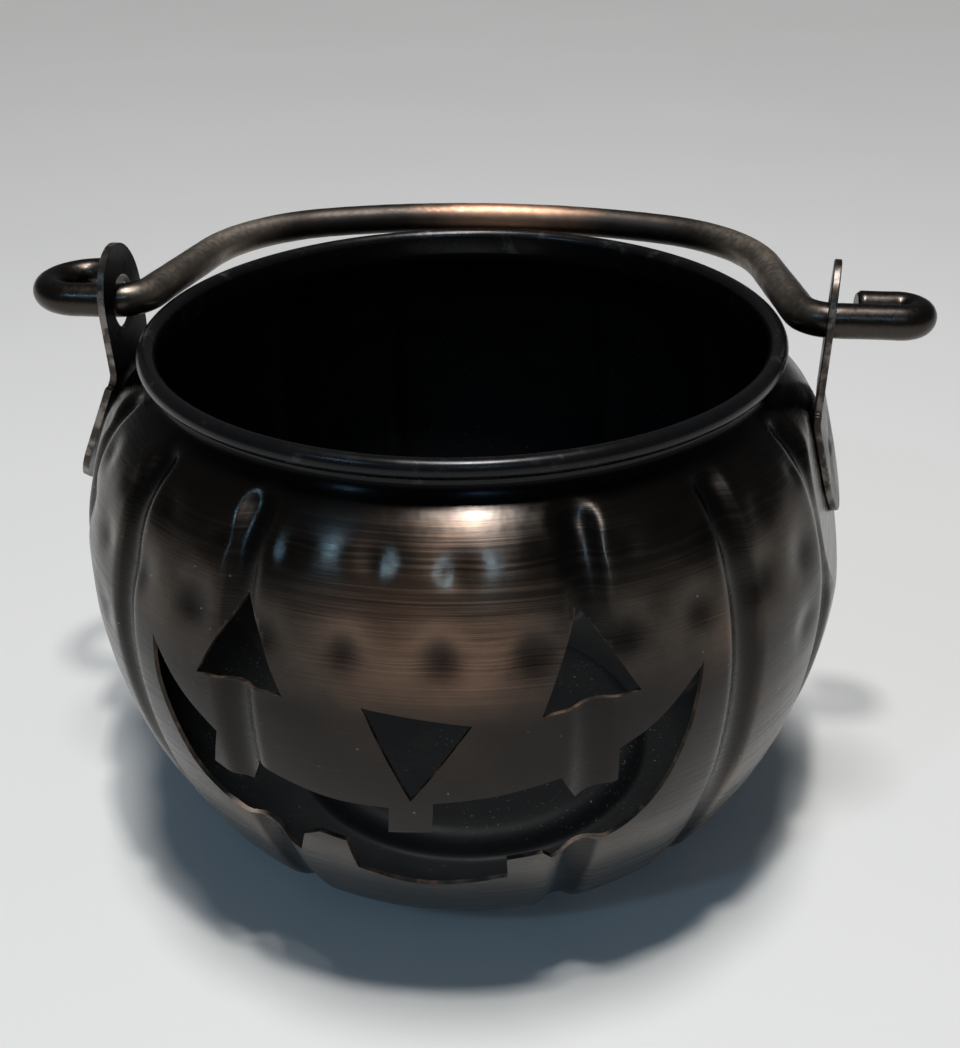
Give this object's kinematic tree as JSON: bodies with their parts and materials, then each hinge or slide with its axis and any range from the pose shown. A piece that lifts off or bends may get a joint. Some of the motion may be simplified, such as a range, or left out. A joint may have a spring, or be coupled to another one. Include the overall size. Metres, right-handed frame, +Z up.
{
  "type": "pumpkin candy pail",
  "caption": "Round pressed-metal pail shaped as a fluted pumpkin with a cut-out jack-o'-lantern face, an open rolled rim, side ears and a swinging wire bail.",
  "frame": {"origin": "on the floor under the middle of the pail", "axes": "+Z up, the face looks along -Y, the ears and the bail's hinge line lie along X, the bail lies back to +Y at rest"},
  "size_m": [0.234, 0.1998, 0.1524],
  "materials": {
    "shell_copper": "antiqued copper on pressed steel sheet, brushed, worn bright on the belly",
    "ear_steel": "blackened sheet, rubbed bright at the edges",
    "bail_rod": "dark bronzed rod, lightly hammered"
  },
  "bodies": {
    "pail": {"pail_shell": "shell_copper", "ear_left": "ear_steel", "ear_right": "ear_steel"},
    "handle": {"bail": "bail_rod"}
  },
  "joints": [
    {"name": "bail_swing", "type": "hinge", "parent": "pail", "child": "handle", "pos_m": [0, 0, 0.1374], "axis": [1, 0, 0], "range_deg": [0, 180]}
  ]
}
